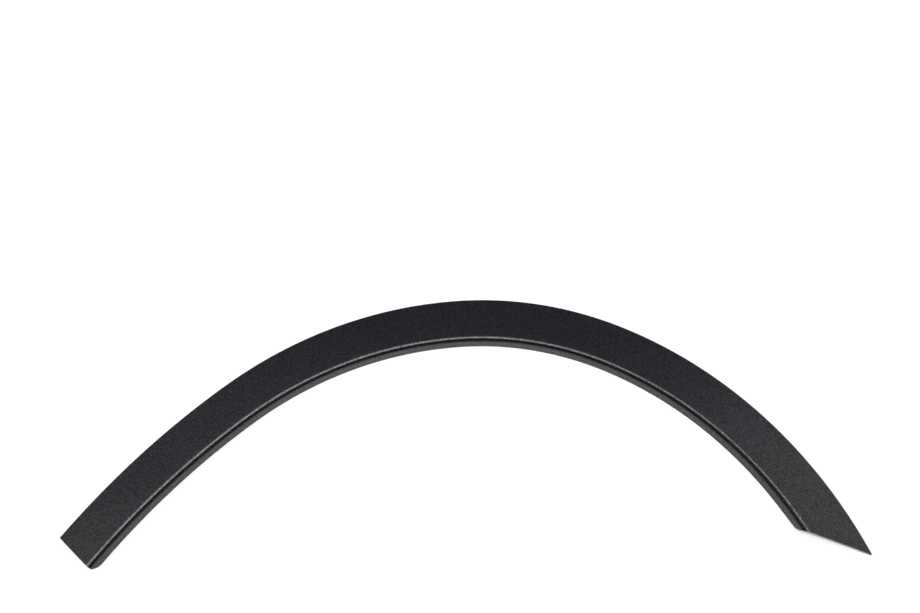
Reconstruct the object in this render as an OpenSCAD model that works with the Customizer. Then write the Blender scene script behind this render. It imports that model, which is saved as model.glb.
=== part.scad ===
// Wheel arch trim: one moulded strip of black plastic that edges a car's wheel opening.
// It lies face up. X runs along the arch, Y points to its crown and Z is up.
// A bent section runs along four tangent arcs. One end is cut square, the other to a point.

/* [Wheel opening] */
// Radius of the opening over the foot, next to the squared end
foot_r = 660; // [500:10:900]
// Angle that the foot turns through
foot_angle = 15.45; // [8:0.05:20]
// Radius of the opening over the haunch
haunch_r = 340; // [300:5:420]
// Angle that the haunch turns through
haunch_angle = 34; // [28:0.5:42]
// Radius of the opening over the crown
crown_r = 280; // [240:5:340]
// Angle that the crown turns through
crown_angle = 28; // [20:0.5:34]
// Radius of the opening over the tail, next to the point
tail_r = 335; // [290:5:420]
// Angle that the tail turns through
tail_angle = 44.5; // [38:0.5:50]
// Direction in which the strip leaves the squared end, above the chord
foot_heading = 53.95; // [48:0.05:58]

/* [Section] */
// Width in plan at the squared end, from the outer edge to the foot of the return lip
square_w = 43.3; // [38:0.1:50]
// Width in plan at the pointed end
point_w = 47; // [40:0.1:54]
// Height over the bend
trim_h = 10.5; // [9:0.1:14]
// Height of the face at the outer edge of the pointed end
rim_h = 2.7; // [2.6:0.1:4]
// Thickness of the wall
wall = 2.5; // [1.8:0.1:2.6]
// Outside radius of the bend between the face and the return lip
bend_r = 5; // [3.5:0.1:6]
// Lean of the return lip from upright
lip_draft = 15; // [5:0.5:20]
// Radius of the slight crown across the face
face_r = 300; // [200:10:500]
// Width of the flat land under the outer edge of the pointed end, for tape or a seal
land_w = 8; // [5:0.5:12]

/* [Ends] */
// Angle of the squared end away from a true right angle
square_skew = 3; // [0:0.5:8]
// Angle at the tip, between the outer edge and the diagonal cut
point_angle = 49.5; // [42:0.5:60]
// Height up to which the lip's end slants back from each cut
slant_h = 6; // [4:0.1:6]
// Height at which the slant turns into the long lift of the lip's lower edge
lift_h = 1.6; // [0.8:0.1:2.5]
// How far the slant reaches back at the squared end
square_slant = 3.5; // [1:0.5:5]
// How far the slant reaches back at the pointed end
point_slant = 1.5; // [1:0.5:7]
// How far back the lip's lower edge is lifted at the squared end
square_lift = 7; // [5:0.5:12]
// How far back the lip's lower edge is lifted at the pointed end
point_lift = 17; // [9:0.5:22]

/* [Hidden] */
$fn = 360;

radii = [foot_r, haunch_r, crown_r, tail_r];
sweeps = [foot_angle, haunch_angle, crown_angle, tail_angle];
last = len(radii) - 1;
// The strip is swept this many degrees past each end, which the end cuts then take off
run_out_angle = 1.5;
// Angle by which neighbouring arcs run into each other, so that they join without a seam
lap_angle = 0.00002;
// Steps in the bend and across the face
bend_steps = 9;
face_steps = 6;
// Room that a cutting shape takes beyond what it cuts
over = 1;
// Reach of an end cut to both sides
block = 3 * point_w;
// Step to which the section's corners are rounded, and the coarse step of a place
grid = 0.001;
place_grid = 0.01;

function unit(a) = [cos(a), sin(a)];
// Rounds a size, so that arcs that meet share their corners to the last digit
function fine(x) = round(x / grid) * grid;

// The lip's foot follows the opening. Heading and point where arc i starts, from the squared end
function heading(i) = i == 0 ? foot_heading : heading(i - 1) - sweeps[i - 1];
function knot(i) = i == 0 ? [0, 0] : centre(i - 1) + radii[i - 1] * unit(heading(i) + 90);
function centre(i) = knot(i) - radii[i] * unit(heading(i) + 90);

// The outer edge. The strip's width grows evenly along the opening
function run(i) = i == 0 ? 0 : run(i - 1) + radii[i - 1] * sweeps[i - 1];
function width(i) = square_w + (point_w - square_w) * run(i) / run(last + 1);
function edge_knot(i) = knot(i) + width(i) * unit(heading(i) + 90);
function edge_r(i) = fine(radii[i] + (width(i) + width(i + 1)) / 2);
// Middle of the circle that joins two points of the outer edge
function edge_centre(i) =
    let (a = edge_knot(i), b = edge_knot(i + 1), chord = b - a, half = norm(chord) / 2)
    (a + b) / 2 + [chord[1], -chord[0]] / norm(chord) * sqrt(pow(edge_r(i), 2) - half * half);

// Distance from a point, along a direction, to a circle of radius r that lies that way
function reach(at, dir, mid, r) =
    let (d = at - mid, b = d * unit(dir))
    -b - sqrt(b * b - d * d + r * r);

corner = edge_knot(0);
tip = edge_knot(last + 1);
square_dir = foot_heading - 90 - square_skew;
point_dir = heading(last + 1) + 180 + point_angle;
// How far along each cut the lip stands, at the top of its slanted end
slant_v = slant_h * tan(lip_draft);
square_reach = reach(corner, square_dir, centre(0), foot_r + slant_v);
point_reach = reach(tip, point_dir, centre(last), tail_r + slant_v);

// Middle of the box around the plan. The arch is highest where the heading passes through zero
top = [for (i = [0:last]) if (heading(i) >= 0 && heading(i + 1) < 0) i][0];
high_y = edge_centre(top)[1] + edge_r(top);
low_y = min(corner[1] + square_reach * sin(square_dir), tip[1]);
middle = [(corner[0] + tip[0]) / 2, (high_y + low_y) / 2];

// The section, with v outwards from the lip's foot and z up. The bend's middle:
bend_z = trim_h - bend_r;
bend_v = bend_r * cos(lip_draft) + (bend_z + bend_r * sin(lip_draft)) * tan(lip_draft);
// The face's arc passes through the rim and runs smoothly into the bend
face_mid =
    let (
        rim = [point_w, rim_h], bend = [bend_v, bend_z],
        gap = norm(bend - rim), near = face_r - bend_r,
        t = (gap * gap + face_r * face_r - near * near) / (2 * gap),
        down = [rim[1] - bend[1], bend[0] - rim[0]] / gap
    )
    rim + (bend - rim) * t / gap + down * sqrt(face_r * face_r - t * t);
function face_angle(v, r) = acos((v - face_mid[0]) / r);
edge_v = point_w + over;
land_v = point_w - land_w;
bend_angle = atan2(bend_z - face_mid[1], bend_v - face_mid[0]);
lip_angle = 180 - lip_draft;
under_r = face_r - wall;

function arc(mid, r, a, b, steps) =
    [for (i = [0:steps]) mid + r * unit(a + (b - a) * i / steps)];

corners = concat(
    [[edge_v, 0]],
    arc(face_mid, face_r, face_angle(edge_v, face_r), bend_angle, face_steps),
    arc([bend_v, bend_z], bend_r, bend_angle, lip_angle, bend_steps),
    [[0, 0], [wall / cos(lip_draft), 0]],
    arc([bend_v, bend_z], bend_r - wall, lip_angle, bend_angle, bend_steps),
    arc(face_mid, under_r, bend_angle, face_angle(land_v, under_r), face_steps),
    [[land_v, 0]]
);
section = [for (p = corners) [fine(p[0]), fine(p[1])]];

// Moves a shape to a middle in a coarse and a fine step, which keeps every digit of it
module at_middle(p) {
    coarse = [for (x = p) round(x / place_grid) * place_grid];
    translate(coarse) translate(p - coarse) children();
}

// One arc of the strip: the section turned about the arc's middle, trimmed to the outer edge
module strip_arc(i) {
    before = i == 0 ? run_out_angle : lap_angle;
    after = i == last ? run_out_angle : lap_angle;
    intersection() {
        at_middle(centre(i))
            rotate_extrude(start = heading(i + 1) + 90 - after, angle = sweeps[i] + before + after)
                polygon([for (p = section) [radii[i] + p[0], p[1]]]);
        at_middle(edge_centre(i)) translate([0, 0, -over]) cylinder(h = trim_h + 2 * over, r = edge_r(i));
    }
}

// Takes off what lies past an end, slants the lip's end and lifts its lower edge there.
// The part that stays lies to the left of the cut, or to its right where flip is 1.
module end_cut(at, dir, lip_at, slant, lift, flip) {
    below = lift + over * (lift - slant) / lift_h;
    translate(at) rotate([0, 0, dir]) mirror([0, flip, 0]) {
        translate([-block, -block, -over]) cube([2 * block, block, trim_h + 2 * over]);
        translate([lip_at - 5 * wall, 0, 0]) rotate([90, 0, 90]) linear_extrude(8 * wall)
            polygon([[-over, -over], [below, -over], [slant, lift_h], [0, slant_h], [-over, slant_h]]);
    }
}

module arch_trim() {
    color([0.17, 0.17, 0.18]) translate(-middle) difference() {
        union() {
            for (i = [0:last]) strip_arc(i);
        }
        end_cut(corner, square_dir, square_reach, square_slant, square_lift, 0);
        end_cut(tip, point_dir, point_reach, point_slant, point_lift, 1);
    }
}

arch_trim();
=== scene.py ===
"""The looks of a wheel arch trim: a strip of fine-grained black plastic, lying face up on a white table."""

import logging
import math
from collections.abc import Callable, Iterable
from dataclasses import dataclass, field
from enum import Enum

import bpy
from mathutils import Matrix, Vector


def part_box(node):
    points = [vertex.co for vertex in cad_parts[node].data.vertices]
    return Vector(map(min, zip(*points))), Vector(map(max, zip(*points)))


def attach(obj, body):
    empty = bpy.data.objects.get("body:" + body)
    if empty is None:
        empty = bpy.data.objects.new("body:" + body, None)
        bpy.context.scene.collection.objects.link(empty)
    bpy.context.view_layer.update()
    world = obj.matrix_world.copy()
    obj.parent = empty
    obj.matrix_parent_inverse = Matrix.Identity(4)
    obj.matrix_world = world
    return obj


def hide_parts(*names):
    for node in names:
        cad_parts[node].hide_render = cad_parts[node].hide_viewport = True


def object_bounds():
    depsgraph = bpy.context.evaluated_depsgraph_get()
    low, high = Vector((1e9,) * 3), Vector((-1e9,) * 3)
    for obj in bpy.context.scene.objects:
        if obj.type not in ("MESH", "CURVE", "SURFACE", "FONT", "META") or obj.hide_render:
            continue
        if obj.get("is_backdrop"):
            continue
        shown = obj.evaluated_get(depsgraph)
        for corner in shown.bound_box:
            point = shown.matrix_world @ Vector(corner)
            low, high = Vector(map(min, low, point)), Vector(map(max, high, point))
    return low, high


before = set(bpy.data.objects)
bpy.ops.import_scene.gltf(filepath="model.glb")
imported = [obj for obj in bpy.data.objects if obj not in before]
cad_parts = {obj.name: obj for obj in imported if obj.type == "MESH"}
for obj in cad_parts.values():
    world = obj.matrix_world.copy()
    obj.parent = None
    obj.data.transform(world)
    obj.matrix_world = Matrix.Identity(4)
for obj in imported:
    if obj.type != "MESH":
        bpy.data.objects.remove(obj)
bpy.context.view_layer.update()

MM = 0.001
LOG = logging.getLogger("wheel_arch_trim")


def only(piece: bpy.types.Object) -> None:
    """Makes one object the selected and the active one.

    Args:
        piece: The object to work on.
    """
    bpy.ops.object.select_all(action="DESELECT")
    piece.select_set(True)
    bpy.context.view_layer.objects.active = piece


def pick_edges(piece: bpy.types.Object, chosen: Callable[[Vector, Vector], bool]) -> int:
    """Selects the edges between some places and nothing else. It starts and ends in edit mode.

    Args:
        piece: The mesh object.
        chosen: Says of an edge's two ends whether it is selected.

    Returns:
        How many edges are selected.
    """
    bpy.ops.mesh.select_mode(type="EDGE")
    bpy.ops.mesh.select_all(action="DESELECT")
    bpy.ops.object.mode_set(mode="OBJECT")
    places = piece.data.vertices
    count = 0
    for edge in piece.data.edges:
        edge.select = chosen(*(places[index].co for index in edge.vertices))
        count += edge.select
    bpy.ops.object.mode_set(mode="EDIT")
    return count


def apply_modifier(piece: bpy.types.Object, kind: str, **settings: object) -> None:
    """Adds a modifier, sets it up and applies it.

    Args:
        piece: The object that gets it.
        kind: Blender's name of the modifier's type.
        settings: Its settings by name.
    """
    only(piece)
    modifier = piece.modifiers.new(kind.lower(), kind)
    for key, value in settings.items():
        setattr(modifier, key, value)
    bpy.ops.object.modifier_apply(modifier=modifier.name)


def unit(degrees: float) -> Vector:
    """Returns the unit vector in a direction of a plane."""
    return Vector((math.cos(math.radians(degrees)), math.sin(math.radians(degrees))))


class Value:
    """A number in a material's nodes, which adds its Math nodes as it is used in an expression."""

    def __init__(self, tree: bpy.types.NodeTree, socket: bpy.types.NodeSocket) -> None:
        """Keeps the tree and the socket that holds the number."""
        self.tree = tree
        self.socket = socket

    def math(self, operation: str, other: "Value | float", swap: bool = False) -> "Value":
        """Adds one Math node.

        Args:
            operation: Blender's name of the operation.
            other: The other input, as a value or a plain number.
            swap: Whether this value goes last instead of first.

        Returns:
            The node's result.
        """
        node = self.tree.nodes.new("ShaderNodeMath")
        node.operation = operation
        inputs = (other, self) if swap else (self, other)
        for socket, given in zip(node.inputs, inputs):
            if isinstance(given, Value):
                self.tree.links.new(given.socket, socket)
            else:
                socket.default_value = given
        return Value(self.tree, node.outputs[0])

    def __add__(self, other: "Value | float") -> "Value":
        """Adds."""
        return self.math("ADD", other)

    def __radd__(self, other: float) -> "Value":
        """Adds, from the right."""
        return self.math("ADD", other)

    def __sub__(self, other: "Value | float") -> "Value":
        """Subtracts."""
        return self.math("SUBTRACT", other)

    def __rsub__(self, other: float) -> "Value":
        """Subtracts from a plain number."""
        return self.math("SUBTRACT", other, swap=True)

    def __mul__(self, other: "Value | float") -> "Value":
        """Multiplies."""
        return self.math("MULTIPLY", other)

    def __rmul__(self, other: float) -> "Value":
        """Multiplies, from the right."""
        return self.math("MULTIPLY", other)

    def held(self, low: float, high: float) -> "Value":
        """Returns the value held between two limits."""
        return self.math("MAXIMUM", low).math("MINIMUM", high)

    def between(self, low: float, high: float) -> "Value":
        """Rescales, so that low and below become 0, and high and above become 1.

        Args:
            low: The value that becomes 0.
            high: The value that becomes 1.

        Returns:
            The rescaled value.
        """
        return ((self - low) * (1.0 / (high - low))).held(0.0, 1.0)


class NodeGraph:
    """A tree of shader nodes, with one way to add any node to it."""

    def __init__(self, tree: bpy.types.NodeTree) -> None:
        """Starts an empty tree.

        Args:
            tree: The material's or the world's tree.
        """
        self.tree = tree
        self.tree.nodes.clear()

    def node(
        self,
        kind: str,
        settings: dict[str, object] | None = None,
        inputs: dict[str | int, object] | None = None,
    ) -> bpy.types.Node:
        """Adds a node: its settings first, then its inputs.

        Args:
            kind: Blender's identifier of the node.
            settings: Its properties by name.
            inputs: Numbers, colours, values or sockets, by the input's name or index.

        Returns:
            The new node.
        """
        made = self.tree.nodes.new(kind)
        for key, value in (settings or {}).items():
            setattr(made, key, value)
        for key, value in (inputs or {}).items():
            socket = made.inputs[key]
            if isinstance(value, Value):
                self.tree.links.new(value.socket, socket)
            elif isinstance(value, bpy.types.NodeSocket):
                self.tree.links.new(value, socket)
            else:
                socket.default_value = value
        return made

    def value(self, socket: bpy.types.NodeSocket) -> Value:
        """Wraps a socket, so that it can stand in an expression."""
        return Value(self.tree, socket)

    def place(self) -> bpy.types.NodeSocket:
        """Returns the place on the piece, in metres."""
        return self.node("ShaderNodeTexCoord").outputs["Object"]

    def noise(self, per_metre: float, detail: float = 2.0, roughness: float = 0.5) -> Value:
        """Adds a noise over the piece.

        Args:
            per_metre: Waves to the metre.
            detail: How many finer layers it has.
            roughness: How strong the finer layers are.

        Returns:
            The noise, around 0.5.
        """
        made = self.node(
            "ShaderNodeTexNoise",
            inputs={
                "Vector": self.place(),
                "Scale": per_metre,
                "Detail": detail,
                "Roughness": roughness,
            },
        )
        return self.value(made.outputs["Fac"])

    def cells(self, per_metre: float, softness: float) -> Value:
        """Adds a pattern of soft cells over the piece.

        Args:
            per_metre: Cells to the metre.
            softness: How far neighbouring cells melt into each other, from 0 to 1.

        Returns:
            The distance from the cell's middle.
        """
        made = self.node(
            "ShaderNodeTexVoronoi",
            {"feature": "SMOOTH_F1"},
            {"Vector": self.place(), "Scale": per_metre, "Smoothness": softness},
        )
        return self.value(made.outputs["Distance"])

    def mix(self, factor: Value, low: tuple[float, ...], high: tuple[float, ...]) -> bpy.types.NodeSocket:
        """Mixes two colours.

        Args:
            factor: 0 for the first colour and 1 for the second.
            low: The first colour.
            high: The second colour.

        Returns:
            The mixed colour's socket.
        """
        made = self.node("ShaderNodeMix", {"data_type": "RGBA"}, {0: factor, 6: low, 7: high})
        return made.outputs[2]

    def close(self, kind: str, shader: bpy.types.NodeSocket) -> None:
        """Joins a shader to the tree's output.

        Args:
            kind: Blender's identifier of the output node.
            shader: The surface shader's socket.
        """
        self.node(kind, inputs={"Surface": shader})


def new_material(name: str) -> tuple[bpy.types.Material, NodeGraph]:
    """Starts a material.

    Args:
        name: The material's name.

    Returns:
        The material and its empty graph.
    """
    material = bpy.data.materials.new(name)
    material.use_nodes = True
    return material, NodeGraph(material.node_tree)


@dataclass(frozen=True)
class GrainedPlastic:
    """Matt black plastic with the fine pebble grain of a car's outer trim."""

    dark: tuple[float, float, float, float] = (0.0008, 0.0006, 0.0016, 1.0)
    light: tuple[float, float, float, float] = (0.0056, 0.0048, 0.0084, 1.0)
    roughness: float = 0.34
    roughness_swing: float = 0.06
    gloss: float = 0.2
    sheen_low: float = 0.15
    sheen_high: float = 0.95
    sheen_roughness: float = 0.33
    sheen_ior: float = 1.45
    pebbles_per_metre: float = 950.0
    ripple_per_metre: float = 430.0
    cloud_per_metre: float = 14.0
    tone_per_metre: float = 620.0
    grain_height: float = 0.14 * MM
    pebble_softness: float = 0.35
    pebble_share: float = 0.7
    ripple_share: float = 0.6
    cloud_share: float = 0.2
    tone_low: float = 0.35
    tone_high: float = 0.65

    def build(self) -> bpy.types.Material:
        """Makes the material.

        Returns:
            The finished material.
        """
        material, graph = new_material("grained_black_plastic")
        pebbles = graph.cells(self.pebbles_per_metre, self.pebble_softness)
        ripple = graph.noise(self.ripple_per_metre, 2.0, 0.6)
        cloud = graph.noise(self.cloud_per_metre, 3.0, 0.55)
        speckle = graph.noise(self.tone_per_metre, 2.0, 0.6).between(self.tone_low, self.tone_high)
        tone = speckle * (1.0 - self.cloud_share) + cloud * self.cloud_share
        height = pebbles * self.pebble_share + ripple * self.ripple_share
        bump = graph.node(
            "ShaderNodeBump",
            inputs={"Strength": 1.0, "Distance": self.grain_height, "Height": height},
        )
        shader = graph.node(
            "ShaderNodeBsdfPrincipled",
            inputs={
                "Base Color": graph.mix(tone, self.dark, self.light),
                "Roughness": self.roughness + (cloud - 0.5) * self.roughness_swing,
                "Specular IOR Level": self.gloss,
                "Coat Weight": self.sheen_low + tone * (self.sheen_high - self.sheen_low),
                "Coat Roughness": self.sheen_roughness,
                "Coat IOR": self.sheen_ior,
                "Normal": bump.outputs["Normal"],
            },
        )
        graph.close("ShaderNodeOutputMaterial", shader.outputs["BSDF"])
        return material


@dataclass(frozen=True)
class WhiteTable:
    """A white table top, which keeps the shadow and is plain white to the eye where none falls."""

    colour: tuple[float, float, float, float] = (0.92, 0.92, 0.92, 1.0)
    lift: float = 0.045
    mirrored_lift: float = 0.20

    def build(self) -> bpy.types.Material:
        """Makes the material.

        Returns:
            The finished material.
        """
        material, graph = new_material("white_table")
        diffuse = graph.node("ShaderNodeBsdfDiffuse", inputs={"Color": self.colour})
        path = graph.node("ShaderNodeLightPath").outputs
        seen = graph.value(path["Is Camera Ray"]) * self.lift
        mirrored = graph.value(path["Is Glossy Ray"]) * self.mirrored_lift
        glow = graph.node(
            "ShaderNodeEmission",
            inputs={"Color": (1.0, 1.0, 1.0, 1.0), "Strength": seen + mirrored},
        )
        both = graph.node("ShaderNodeAddShader", inputs={0: diffuse.outputs[0], 1: glow.outputs[0]})
        graph.close("ShaderNodeOutputMaterial", both.outputs[0])
        return material


@dataclass(frozen=True)
class Arc:
    """One stretch of the wheel opening: its radius in millimetres and the angle it turns through."""

    radius: float
    sweep: float


class End(Enum):
    """The two ends of the strip."""

    SQUARE = "square"
    POINT = "point"


@dataclass
class WheelOpening:
    """The line of the return lip's foot in plan: tangent arcs from the squared end to the point.

    Lengths are in millimetres and angles in degrees.
    """

    arcs: tuple[Arc, ...] = (Arc(660.0, 15.45), Arc(340.0, 34.0), Arc(280.0, 28.0), Arc(335.0, 44.5))
    start_heading: float = 53.95
    curve_steps: int = 64
    headings: list[float] = field(init=False)
    knots: list[Vector] = field(init=False)
    centres: list[Vector] = field(init=False)
    runs: list[float] = field(init=False)

    def __post_init__(self) -> None:
        """Works out where each arc starts and the middle that it turns about."""
        self.headings = [self.start_heading]
        self.knots = [Vector((0.0, 0.0))]
        self.centres = []
        self.runs = [0.0]
        for arc in self.arcs:
            self.centres.append(self.knots[-1] - unit(self.headings[-1] + 90.0) * arc.radius)
            self.headings.append(self.headings[-1] - arc.sweep)
            self.knots.append(self.centres[-1] + unit(self.headings[-1] + 90.0) * arc.radius)
            self.runs.append(self.runs[-1] + math.radians(arc.sweep) * arc.radius)

    def beside(self, index: int, outwards: float) -> Vector:
        """Returns the point at a distance outwards of one of the knots."""
        return self.knots[index] + unit(self.headings[index] + 90.0) * outwards

    def run_at(self, index: int, point: Vector) -> float:
        """Returns how far along the opening a point of one arc's sector lies."""
        offset = point - self.centres[index]
        turned = self.headings[index] + 90.0 - math.degrees(math.atan2(offset.y, offset.x))
        return self.runs[index] + math.radians(turned) * self.arcs[index].radius

    def highest(self, width_at: Callable[[float], float]) -> float:
        """Returns how high in plan the outer edge reaches, where the opening's heading passes through zero.

        Args:
            width_at: Gives the strip's width from the run along the opening.
        """
        top = next(i for i, arc in enumerate(self.arcs) if 0.0 <= self.headings[i] < arc.sweep)
        radius = self.arcs[top].radius
        run = self.runs[top] + math.radians(self.headings[top]) * radius
        return self.centres[top].y + radius + width_at(run)

    def build(self) -> bpy.types.Object:
        """Makes the opening's line as a Bezier curve, with handles that keep each arc round.

        Returns:
            The curve object.
        """
        bpy.ops.object.select_all(action="DESELECT")
        bpy.ops.curve.primitive_bezier_curve_add(location=(0.0, 0.0, 0.0))
        line = bpy.context.active_object
        line.data.dimensions = "2D"
        line.data.resolution_u = self.curve_steps
        points = line.data.splines[0].bezier_points
        points.add(len(self.knots) - len(points))
        for index, point in enumerate(points):
            place = self.knots[index] * MM
            along = unit(self.headings[index]) * MM
            before = self.arcs[max(index - 1, 0)]
            after = self.arcs[min(index, len(self.arcs) - 1)]
            point.handle_left_type = point.handle_right_type = "FREE"
            point.co = place.to_3d()
            point.handle_left = (place - along * self.handle(before)).to_3d()
            point.handle_right = (place + along * self.handle(after)).to_3d()
        return line

    @staticmethod
    def handle(arc: Arc) -> float:
        """Returns the length of the handles that make a curve's segment a round arc."""
        return 4.0 / 3.0 * math.tan(math.radians(arc.sweep) / 4.0) * arc.radius


@dataclass
class Section:
    """The strip's bent section, in millimetres and degrees.

    Its plane has v outwards from the return lip's foot, and z up.
    """

    width: float = 47.0
    height: float = 10.5
    rim_height: float = 2.7
    wall: float = 2.5
    bend_radius: float = 5.0
    lip_draft: float = 15.0
    face_radius: float = 300.0
    land_width: float = 8.0
    face_steps: int = 10
    bend_steps: int = 16
    bend: Vector = field(init=False)
    face: Vector = field(init=False)
    bend_angle: float = field(init=False)

    def __post_init__(self) -> None:
        """Works out the middles of the bend and of the slightly crowned face."""
        draft = math.radians(self.lip_draft)
        bend_z = self.height - self.bend_radius
        bend_v = self.bend_radius * math.cos(draft)
        bend_v += (bend_z + self.bend_radius * math.sin(draft)) * math.tan(draft)
        self.bend = Vector((bend_v, bend_z))
        rim = Vector((self.width, self.rim_height))
        gap = (self.bend - rim).length
        near = self.face_radius - self.bend_radius
        share = (gap**2 + self.face_radius**2 - near**2) / (2.0 * gap)
        towards = (self.bend - rim) / gap
        down = Vector((-towards.y, towards.x))
        self.face = rim + towards * share + down * math.sqrt(self.face_radius**2 - share**2)
        away = self.bend - self.face
        self.bend_angle = math.degrees(math.atan2(away.y, away.x))

    @property
    def lip_angle(self) -> float:
        """The direction in which the return lip's outer side faces."""
        return 180.0 - self.lip_draft

    @property
    def foot_width(self) -> float:
        """The width of the flat foot of the return lip."""
        return self.wall / math.cos(math.radians(self.lip_draft))

    def angle_on_face(self, v: float, radius: float) -> float:
        """Returns the direction from the face's middle to a distance out, on a radius."""
        return math.degrees(math.acos((v - self.face.x) / radius))

    def face_height(self, v: float) -> float:
        """Returns the height of the face a distance out."""
        return self.face.y + math.sqrt(self.face_radius**2 - (v - self.face.x) ** 2)

    def lip_lean(self, z: float) -> float:
        """Returns how far outwards the return lip leans at a height."""
        return z * math.tan(math.radians(self.lip_draft))


@dataclass
class ArchTrim:
    """The moulded strip: a section drawn one stretch at a time, drawn out, trimmed, rounded and bent round
    the opening.

    Lengths are in millimetres and angles in degrees.
    """

    opening: WheelOpening = field(default_factory=WheelOpening)
    section: Section = field(default_factory=Section)
    finish: GrainedPlastic = field(default_factory=GrainedPlastic)
    square_width: float = 43.3
    square_skew: float = 3.0
    point_angle: float = 49.5
    slant_height: float = 6.0
    lift_height: float = 1.6
    slant: dict[End, float] = field(default_factory=lambda: {End.SQUARE: 3.5, End.POINT: 1.5})
    lift: dict[End, float] = field(default_factory=lambda: {End.SQUARE: 7.0, End.POINT: 17.0})
    edge_radius: float = 0.4
    edge_steps: int = 3
    edge_angle: float = 30.0
    smooth_angle: float = 40.0
    stations: int = 100
    pen: Vector = field(default_factory=lambda: Vector((0.0, 0.0)))

    def build(self) -> bpy.types.Object:
        """Models the strip and gives it its finish.

        Returns:
            The finished piece.
        """
        piece = self.draw_section()
        self.draw_out(piece)
        for end in End:
            self.trim(piece, end)
        self.subdivide(piece)
        apply_modifier(
            piece,
            "BEVEL",
            width=self.edge_radius * MM,
            segments=self.edge_steps,
            limit_method="ANGLE",
            angle_limit=math.radians(self.edge_angle),
        )
        self.bend_round(piece)
        self.smooth(piece)
        piece.data.materials.append(self.finish.build())
        return piece

    def turn(self, middle: Vector, degrees: float, steps: int) -> None:
        """Draws an arc of the section from the pen's place.

        Args:
            middle: The arc's middle.
            degrees: The angle to turn through, from v towards z.
            steps: The arc's steps.
        """
        bpy.ops.mesh.spin(
            steps=steps,
            angle=math.radians(degrees),
            center=(0.0, middle.x * MM, middle.y * MM),
            axis=(-1.0, 0.0, 0.0),
        )
        self.pen = middle + Matrix.Rotation(math.radians(degrees), 2) @ (self.pen - middle)

    def line_to(self, v: float, z: float) -> None:
        """Draws a straight side of the section from the pen's place."""
        move = (Vector((v, z)) - self.pen) * MM
        bpy.ops.mesh.extrude_region_move(TRANSFORM_OT_translate={"value": (0.0, move.x, move.y)})
        self.pen = Vector((v, z))

    def draw_section(self) -> bpy.types.Object:
        """Draws the section's outline, from the rim over the face and the bend and back underneath.

        Returns:
            The piece, which is one flat face so far.
        """
        s = self.section
        rim_angle = s.angle_on_face(s.width, s.face_radius)
        under_radius = s.face_radius - s.wall
        land = s.width - s.land_width
        self.pen = Vector((s.width, s.rim_height))
        bpy.ops.object.select_all(action="DESELECT")
        bpy.ops.mesh.primitive_plane_add(size=MM, location=(0.0, self.pen.x * MM, self.pen.y * MM))
        piece = bpy.context.active_object
        piece.name = piece.data.name = "arch_trim_strip"
        bpy.ops.object.transform_apply()
        bpy.ops.object.mode_set(mode="EDIT")
        bpy.ops.mesh.merge(type="CENTER")
        self.turn(s.face, s.bend_angle - rim_angle, s.face_steps)
        self.turn(s.bend, s.lip_angle - s.bend_angle, s.bend_steps)
        for height in (self.slant_height, self.lift_height, 0.0):
            self.line_to(s.lip_lean(height), height)
        for height in (0.0, self.lift_height, self.slant_height):
            self.line_to(s.foot_width + s.lip_lean(height), height)
        inner = s.bend + unit(s.lip_angle) * (s.bend_radius - s.wall)
        self.line_to(*inner)
        self.turn(s.bend, s.bend_angle - s.lip_angle, s.bend_steps)
        self.turn(s.face, s.angle_on_face(land, under_radius) - s.bend_angle, s.face_steps)
        self.line_to(land, 0.0)
        self.line_to(s.width, 0.0)
        bpy.ops.mesh.select_all(action="SELECT")
        bpy.ops.mesh.edge_face_add()
        bpy.ops.object.mode_set(mode="OBJECT")
        return piece

    def draw_out(self, piece: bpy.types.Object) -> None:
        """Draws the section out to the opening's whole length."""
        length = self.opening.runs[-1] * MM
        only(piece)
        bpy.ops.object.mode_set(mode="EDIT")
        bpy.ops.mesh.select_all(action="SELECT")
        bpy.ops.mesh.extrude_region_move(TRANSFORM_OT_translate={"value": (length, 0.0, 0.0)})
        bpy.ops.mesh.select_all(action="SELECT")
        bpy.ops.mesh.normals_make_consistent(inside=False)
        bpy.ops.object.mode_set(mode="OBJECT")

    def cut_line(self, end: End) -> tuple[int, Vector, float, float]:
        """Gives one end's cut in plan.

        Args:
            end: Which end it is.

        Returns:
            The index of the arc it lies on, the outer corner, the direction from there towards the lip,
            and the direction from the cut into the strip.
        """
        if end is End.SQUARE:
            direction = self.opening.headings[0] - 90.0 - self.square_skew
            return 0, self.opening.beside(0, self.square_width), direction, direction + 90.0
        direction = self.opening.headings[-1] + 180.0 + self.point_angle
        tip = self.opening.beside(-1, self.section.width)
        return len(self.opening.arcs) - 1, tip, direction, direction - 90.0

    def trimmed(self, end: End, v: float, z: float) -> Vector:
        """Gives the place of a corner of the section at one end, before the strip is bent.

        Args:
            end: Which end it is.
            v: The corner's distance out.
            z: Its height.

        Returns:
            The run along the opening, the distance out and the height.
        """
        s = self.section
        if end is End.SQUARE and v > s.width - self.edge_radius:
            v = self.square_width
            z = s.face_height(v) if z > 0.0 else 0.0
        index, corner, direction, inwards = self.cut_line(end)
        if v < s.bend.x:
            corner = corner + unit(inwards) * self.set_back(end, z)
        middle = self.opening.centres[index]
        radius = self.opening.arcs[index].radius + v
        offset = corner - middle
        across = offset.dot(unit(direction))
        reach = -across - math.sqrt(across**2 - offset.length_squared + radius**2)
        return Vector((self.opening.run_at(index, corner + unit(direction) * reach), v, z))

    def set_back(self, end: End, z: float) -> float:
        """Returns how far the lip's end stands back from its cut, at a height.

        Low down it is the lift of the lower edge, and above that the slant of the end.
        """
        if z < self.lift_height:
            return self.slant[end] + (self.lift[end] - self.slant[end]) * (1.0 - z / self.lift_height)
        above = (z - self.lift_height) / (self.slant_height - self.lift_height)
        return self.slant[end] * max(0.0, 1.0 - above)

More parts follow.
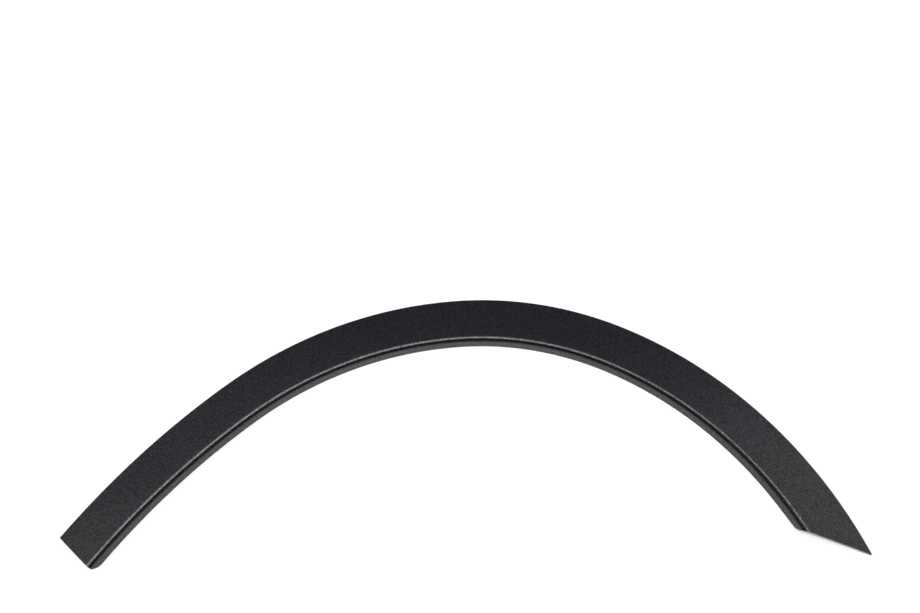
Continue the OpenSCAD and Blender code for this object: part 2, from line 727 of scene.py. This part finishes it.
    def trim(self, piece: bpy.types.Object, end: End) -> None:
        """Moves the corners of one end onto its cut, and creases the lip's slanted and lifted end."""
        at = 0.0 if end is End.SQUARE else self.opening.runs[-1] * MM
        ring = [vertex.index for vertex in piece.data.vertices if abs(vertex.co.x - at) < MM]
        creases = [
            [i for i in ring if self.on_lip(piece.data.vertices[i].co, height)]
            for height in (self.lift_height, self.slant_height)
        ]
        only(piece)
        for index in ring:
            place = piece.data.vertices[index].co.copy()
            target = self.trimmed(end, place.y / MM, round(place.z / MM, 4)) * MM
            self.select_indices(piece, [index])
            bpy.ops.object.mode_set(mode="EDIT")
            bpy.ops.transform.translate(value=target - place)
            bpy.ops.object.mode_set(mode="OBJECT")
        for crease in creases:
            self.select_indices(piece, crease)
            bpy.ops.object.mode_set(mode="EDIT")
            bpy.ops.mesh.vert_connect()
            bpy.ops.object.mode_set(mode="OBJECT")

    def on_lip(self, place: Vector, height: float) -> bool:
        """Says whether a corner lies on the lip, at a height."""
        return place.y < self.section.bend.x * MM and abs(place.z - height * MM) < 0.01 * MM

    @staticmethod
    def select_indices(piece: bpy.types.Object, chosen: Iterable[int]) -> None:
        """Selects some vertices and nothing else, from object mode."""
        wanted = set(chosen)
        for group in (piece.data.polygons, piece.data.edges):
            group.foreach_set("select", [False] * len(group))
        for vertex in piece.data.vertices:
            vertex.select = vertex.index in wanted

    def subdivide(self, piece: bpy.types.Object) -> None:
        """Divides the strip along its length, so that it bends smoothly."""
        only(piece)
        bpy.ops.object.mode_set(mode="EDIT")
        shortest = 0.5 * self.opening.runs[-1] * MM
        pick_edges(piece, lambda a, b: abs(a.x - b.x) > shortest)
        bpy.ops.mesh.subdivide(number_cuts=self.stations - 1)
        shortest /= self.stations
        pick_edges(piece, lambda a, b: abs(a.x - b.x) > shortest and abs(a.y - b.y) < 0.2 * MM)
        bpy.ops.mesh.subdivide(number_cuts=1)
        bpy.ops.object.mode_set(mode="OBJECT")

    def bend_round(self, piece: bpy.types.Object) -> None:
        """Bends the straight strip round the wheel opening, and lays it in the frame's box."""
        line = self.opening.build()
        apply_modifier(piece, "CURVE", object=line, deform_axis="POS_X")
        bpy.data.objects.remove(line)
        low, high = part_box("arch_trim")
        corner = self.opening.beside(0, self.square_width)
        move = Vector((low.x - corner.x * MM, high.y - self.opening.highest(self.width_at) * MM, low.z))
        only(piece)
        bpy.ops.transform.translate(value=move)
        bpy.ops.object.transform_apply(location=True, rotation=True, scale=True)

    def width_at(self, run: float) -> float:
        """Returns the strip's width, a way along the opening."""
        widening = self.section.width - self.square_width
        return self.square_width + widening * run / self.opening.runs[-1]

    def smooth(self, piece: bpy.types.Object) -> None:
        """Shades the bends and rounded edges smoothly, and the flats flat."""
        only(piece)
        bpy.ops.object.mode_set(mode="EDIT")
        bpy.ops.mesh.select_all(action="SELECT")
        bpy.ops.mesh.normals_make_consistent(inside=False)
        bpy.ops.object.mode_set(mode="OBJECT")
        bpy.ops.object.shade_smooth_by_angle(angle=math.radians(self.smooth_angle))
        apply_modifier(piece, "WEIGHTED_NORMAL", keep_sharp=True)


@dataclass(frozen=True)
class Softbox:
    """A large soft lamp, far enough away to light all of the table evenly.

    Its directions are in degrees: azimuth from +X towards +Y, and elevation above the table.
    """

    name: str
    azimuth: float
    elevation: float
    spread: float
    level: float

    def build(self) -> None:
        """Hangs the lamp. A level of 1 alone makes a white table white."""
        data = bpy.data.lights.new(self.name, "SUN")
        data.angle = math.radians(self.spread)
        data.energy = self.level * math.pi / math.sin(math.radians(self.elevation))
        lamp = bpy.data.objects.new(self.name, data)
        flat = unit(self.azimuth) * math.cos(math.radians(self.elevation))
        towards = Vector((flat.x, flat.y, math.sin(math.radians(self.elevation))))
        lamp.rotation_euler = towards.to_track_quat("Z", "Y").to_euler()
        bpy.context.scene.collection.objects.link(lamp)


@dataclass
class Studio:
    """The white table, the soft light and the camera, in millimetres."""

    table_size: float = 12000.0
    table: WhiteTable = field(default_factory=WhiteTable)
    camera_at: tuple[float, float, float] = (-3.84, -185.90, 792.9)
    camera_to: tuple[float, float, float] = (-5.28, 118.50, 0.0)
    lens: float = 35.0
    lamps: tuple[Softbox, ...] = (
        Softbox("front left", 183.0, 42.0, 28.0, 0.13),
        Softbox("left", 165.0, 47.0, 60.0, 0.06),
        Softbox("right", 10.0, 44.0, 50.0, 0.15),
        Softbox("top", -66.0, 77.0, 17.0, 0.62),
        Softbox("top left", 170.0, 79.0, 18.0, 0.12),
    )
    room_back: float = 0.34
    room_dark_to: float = -0.1
    room_full_from: float = 0.5
    room_tint: tuple[float, float, float, float] = (0.91, 0.87, 1.0, 1.0)

    def build(self) -> None:
        """Sets up the whole studio."""
        self.build_table()
        self.build_world()
        self.build_camera()
        for lamp in self.lamps:
            lamp.build()
        bpy.context.scene.view_settings.view_transform = "Standard"

    def build_table(self) -> None:
        """Lays the table top under the piece."""
        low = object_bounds()[0].z
        bpy.ops.object.select_all(action="DESELECT")
        bpy.ops.mesh.primitive_plane_add(size=self.table_size * MM, location=(0.0, 0.0, low))
        top = bpy.context.active_object
        top.name = top.data.name = "table_top"
        bpy.ops.object.transform_apply()
        top.data.materials.append(self.table.build())
        top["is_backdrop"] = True

    def build_world(self) -> None:
        """Makes the room: dark towards the viewer, lighter at the back, and plain white to the eye."""
        world = bpy.data.worlds.new("studio_room")
        world.use_nodes = True
        bpy.context.scene.world = world
        graph = NodeGraph(world.node_tree)
        direction = graph.node("ShaderNodeTexCoord").outputs["Generated"]
        split = graph.node("ShaderNodeSeparateXYZ", inputs={0: direction})
        away = graph.value(split.outputs["Y"]).between(self.room_dark_to, self.room_full_from)
        seen = graph.value(graph.node("ShaderNodeLightPath").outputs["Is Camera Ray"])
        glow = away * self.room_back
        tint = graph.mix(seen, self.room_tint, (1.0, 1.0, 1.0, 1.0))
        room = graph.node(
            "ShaderNodeBackground", inputs={"Color": tint, "Strength": seen + (1.0 - seen) * glow}
        )
        graph.close("ShaderNodeOutputWorld", room.outputs[0])

    def build_camera(self) -> None:
        """Hangs the camera over the table's near edge, looking down at the piece."""
        data = bpy.data.cameras.new("camera")
        data.lens = self.lens
        camera = bpy.data.objects.new("camera", data)
        at = Vector(self.camera_at) * MM
        camera.location = at
        camera.rotation_euler = (Vector(self.camera_to) * MM - at).to_track_quat("-Z", "Y").to_euler()
        bpy.context.scene.collection.objects.link(camera)
        bpy.context.scene.camera = camera


def main() -> None:
    """Builds the strip and its studio, and reports the piece."""
    logging.basicConfig(level=logging.INFO, format="%(name)s: %(message)s")
    strip = ArchTrim().build()
    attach(strip, "root")
    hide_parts("arch_trim")
    LOG.info("%s has %d faces", strip.name, len(strip.data.polygons))
    Studio().build()


if __name__ == "__main__":
    main()
